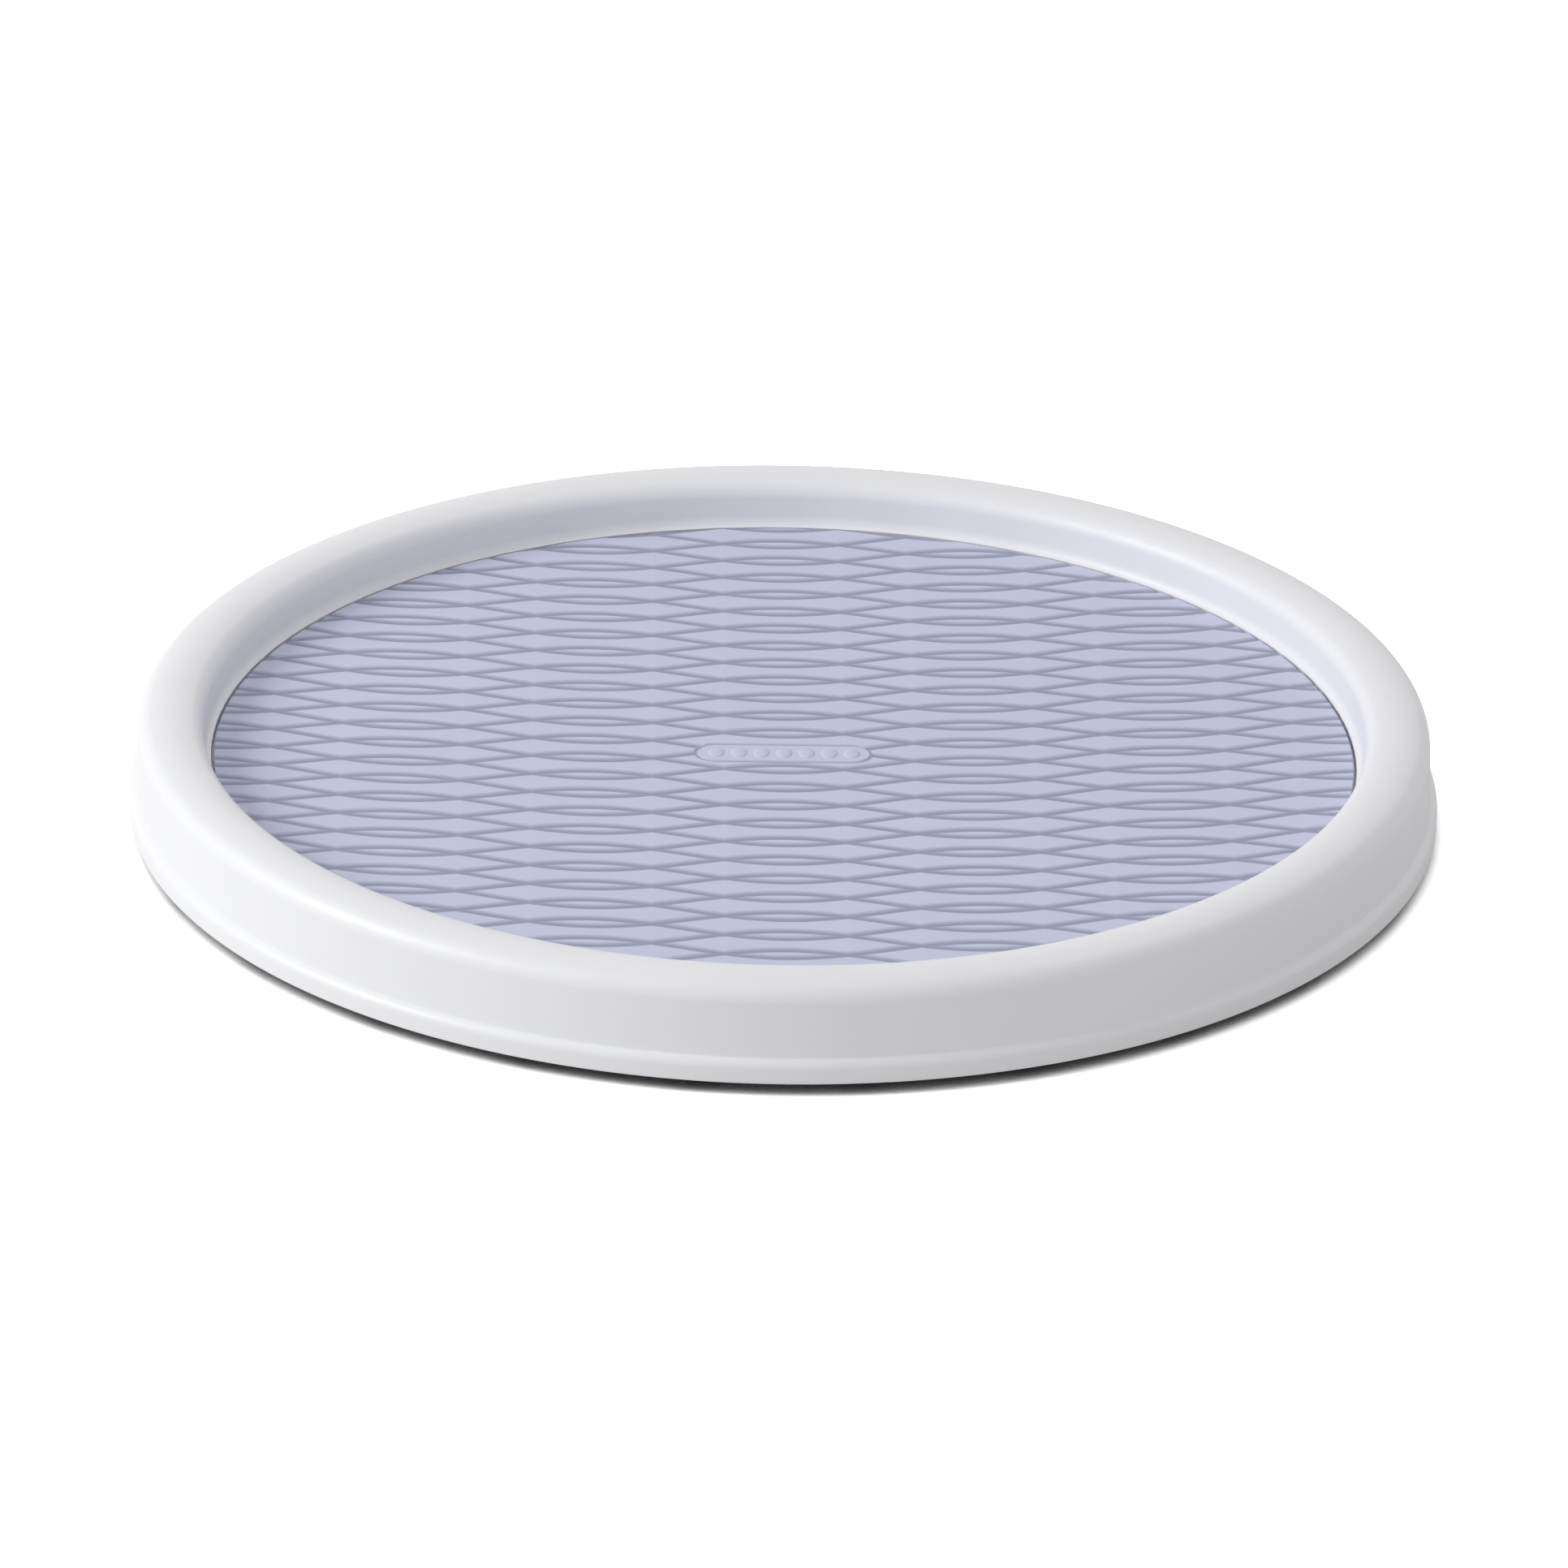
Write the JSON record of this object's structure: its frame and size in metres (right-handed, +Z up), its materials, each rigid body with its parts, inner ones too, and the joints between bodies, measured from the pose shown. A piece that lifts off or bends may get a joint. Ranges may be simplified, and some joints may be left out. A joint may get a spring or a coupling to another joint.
{
  "type": "lazy susan turntable",
  "caption": "Low round lazy susan: a shallow white tray with a raised rim and a soft ribbed mat turns on a ring of steel balls above a fixed base with rubber feet.",
  "frame": {"origin": "on the shelf, under the centre of the turntable, level with the underside of the feet", "axes": "+Z up along the turning axis; +X and +Y level"},
  "size_m": [0.3048, 0.3048, 0.0263],
  "materials": {
    "white_plastic": "smooth satin injection moulding",
    "lavender_rubber": "soft matt thermoplastic rubber with raised wavy ribs",
    "bright_steel": "bright ground steel",
    "bearing_plastic": "natural acetal",
    "cage_plastic": "natural polypropylene",
    "foot_rubber": "soft matt grey rubber"
  },
  "bodies": {
    "base": {"base": "white_plastic", "hub_bushing": "bearing_plastic", "foot_1": "foot_rubber", "foot_2": "foot_rubber", "foot_3": "foot_rubber", "foot_4": "foot_rubber", "foot_5": "foot_rubber", "foot_6": "foot_rubber"},
    "tray": {"tray": "white_plastic", "non_skid_mat": "lavender_rubber", "retaining_washer": "bright_steel", "centre_screw": "bright_steel"},
    "cage": {"ball_cage": "cage_plastic"},
    "ball_01": {"ball_01": "bright_steel"},
    "ball_02": {"ball_02": "bright_steel"},
    "ball_03": {"ball_03": "bright_steel"},
    "ball_04": {"ball_04": "bright_steel"},
    "ball_05": {"ball_05": "bright_steel"},
    "ball_06": {"ball_06": "bright_steel"},
    "ball_07": {"ball_07": "bright_steel"},
    "ball_08": {"ball_08": "bright_steel"},
    "ball_09": {"ball_09": "bright_steel"},
    "ball_10": {"ball_10": "bright_steel"},
    "ball_11": {"ball_11": "bright_steel"},
    "ball_12": {"ball_12": "bright_steel"},
    "ball_13": {"ball_13": "bright_steel"},
    "ball_14": {"ball_14": "bright_steel"},
    "ball_15": {"ball_15": "bright_steel"},
    "ball_16": {"ball_16": "bright_steel"},
    "ball_17": {"ball_17": "bright_steel"},
    "ball_18": {"ball_18": "bright_steel"}
  },
  "joints": [
    {"name": "tray_spin", "type": "hinge", "parent": "base", "child": "tray", "pos_m": [0, 0, 0.0107], "axis": [0, 0, 1], "continuous": true},
    {"name": "cage_spin", "type": "hinge", "parent": "base", "child": "cage", "pos_m": [0, 0, 0.0067], "axis": [0, 0, 1], "continuous": true},
    {"name": "ball_01_roll", "type": "hinge", "parent": "cage", "child": "ball_01", "pos_m": [0.1, 0, 0.0067], "axis": [-1, 0, 0], "continuous": true},
    {"name": "ball_02_roll", "type": "hinge", "parent": "cage", "child": "ball_02", "pos_m": [0.09397, 0.0342, 0.0067], "axis": [-0.9397, -0.342, 0], "continuous": true},
    {"name": "ball_03_roll", "type": "hinge", "parent": "cage", "child": "ball_03", "pos_m": [0.0766, 0.06428, 0.0067], "axis": [-0.766, -0.6428, 0], "continuous": true},
    {"name": "ball_04_roll", "type": "hinge", "parent": "cage", "child": "ball_04", "pos_m": [0.05, 0.0866, 0.0067], "axis": [-0.5, -0.866, 0], "continuous": true},
    {"name": "ball_05_roll", "type": "hinge", "parent": "cage", "child": "ball_05", "pos_m": [0.01736, 0.09848, 0.0067], "axis": [-0.1736, -0.9848, 0], "continuous": true},
    {"name": "ball_06_roll", "type": "hinge", "parent": "cage", "child": "ball_06", "pos_m": [-0.01736, 0.09848, 0.0067], "axis": [0.1736, -0.9848, 0], "continuous": true},
    {"name": "ball_07_roll", "type": "hinge", "parent": "cage", "child": "ball_07", "pos_m": [-0.05, 0.0866, 0.0067], "axis": [0.5, -0.866, 0], "continuous": true},
    {"name": "ball_08_roll", "type": "hinge", "parent": "cage", "child": "ball_08", "pos_m": [-0.0766, 0.06428, 0.0067], "axis": [0.766, -0.6428, 0], "continuous": true},
    {"name": "ball_09_roll", "type": "hinge", "parent": "cage", "child": "ball_09", "pos_m": [-0.09397, 0.0342, 0.0067], "axis": [0.9397, -0.342, 0], "continuous": true},
    {"name": "ball_10_roll", "type": "hinge", "parent": "cage", "child": "ball_10", "pos_m": [-0.1, 0, 0.0067], "axis": [1, 0, 0], "continuous": true},
    {"name": "ball_11_roll", "type": "hinge", "parent": "cage", "child": "ball_11", "pos_m": [-0.09397, -0.0342, 0.0067], "axis": [0.9397, 0.342, 0], "continuous": true},
    {"name": "ball_12_roll", "type": "hinge", "parent": "cage", "child": "ball_12", "pos_m": [-0.0766, -0.06428, 0.0067], "axis": [0.766, 0.6428, 0], "continuous": true},
    {"name": "ball_13_roll", "type": "hinge", "parent": "cage", "child": "ball_13", "pos_m": [-0.05, -0.0866, 0.0067], "axis": [0.5, 0.866, 0], "continuous": true},
    {"name": "ball_14_roll", "type": "hinge", "parent": "cage", "child": "ball_14", "pos_m": [-0.01736, -0.09848, 0.0067], "axis": [0.1736, 0.9848, 0], "continuous": true},
    {"name": "ball_15_roll", "type": "hinge", "parent": "cage", "child": "ball_15", "pos_m": [0.01736, -0.09848, 0.0067], "axis": [-0.1736, 0.9848, 0], "continuous": true},
    {"name": "ball_16_roll", "type": "hinge", "parent": "cage", "child": "ball_16", "pos_m": [0.05, -0.0866, 0.0067], "axis": [-0.5, 0.866, 0], "continuous": true},
    {"name": "ball_17_roll", "type": "hinge", "parent": "cage", "child": "ball_17", "pos_m": [0.0766, -0.06428, 0.0067], "axis": [-0.766, 0.6428, 0], "continuous": true},
    {"name": "ball_18_roll", "type": "hinge", "parent": "cage", "child": "ball_18", "pos_m": [0.09397, -0.0342, 0.0067], "axis": [-0.9397, 0.342, 0], "continuous": true}
  ],
  "couplings": [
    {"joint": "cage_spin", "follows": "tray_spin", "ratio": 0.5},
    {"joint": "ball_01_roll", "follows": "tray_spin", "ratio": 16.667},
    {"joint": "ball_02_roll", "follows": "tray_spin", "ratio": 16.667},
    {"joint": "ball_03_roll", "follows": "tray_spin", "ratio": 16.667},
    {"joint": "ball_04_roll", "follows": "tray_spin", "ratio": 16.667},
    {"joint": "ball_05_roll", "follows": "tray_spin", "ratio": 16.667},
    {"joint": "ball_06_roll", "follows": "tray_spin", "ratio": 16.667},
    {"joint": "ball_07_roll", "follows": "tray_spin", "ratio": 16.667},
    {"joint": "ball_08_roll", "follows": "tray_spin", "ratio": 16.667},
    {"joint": "ball_09_roll", "follows": "tray_spin", "ratio": 16.667},
    {"joint": "ball_10_roll", "follows": "tray_spin", "ratio": 16.667},
    {"joint": "ball_11_roll", "follows": "tray_spin", "ratio": 16.667},
    {"joint": "ball_12_roll", "follows": "tray_spin", "ratio": 16.667},
    {"joint": "ball_13_roll", "follows": "tray_spin", "ratio": 16.667},
    {"joint": "ball_14_roll", "follows": "tray_spin", "ratio": 16.667},
    {"joint": "ball_15_roll", "follows": "tray_spin", "ratio": 16.667},
    {"joint": "ball_16_roll", "follows": "tray_spin", "ratio": 16.667},
    {"joint": "ball_17_roll", "follows": "tray_spin", "ratio": 16.667},
    {"joint": "ball_18_roll", "follows": "tray_spin", "ratio": 16.667}
  ]
}
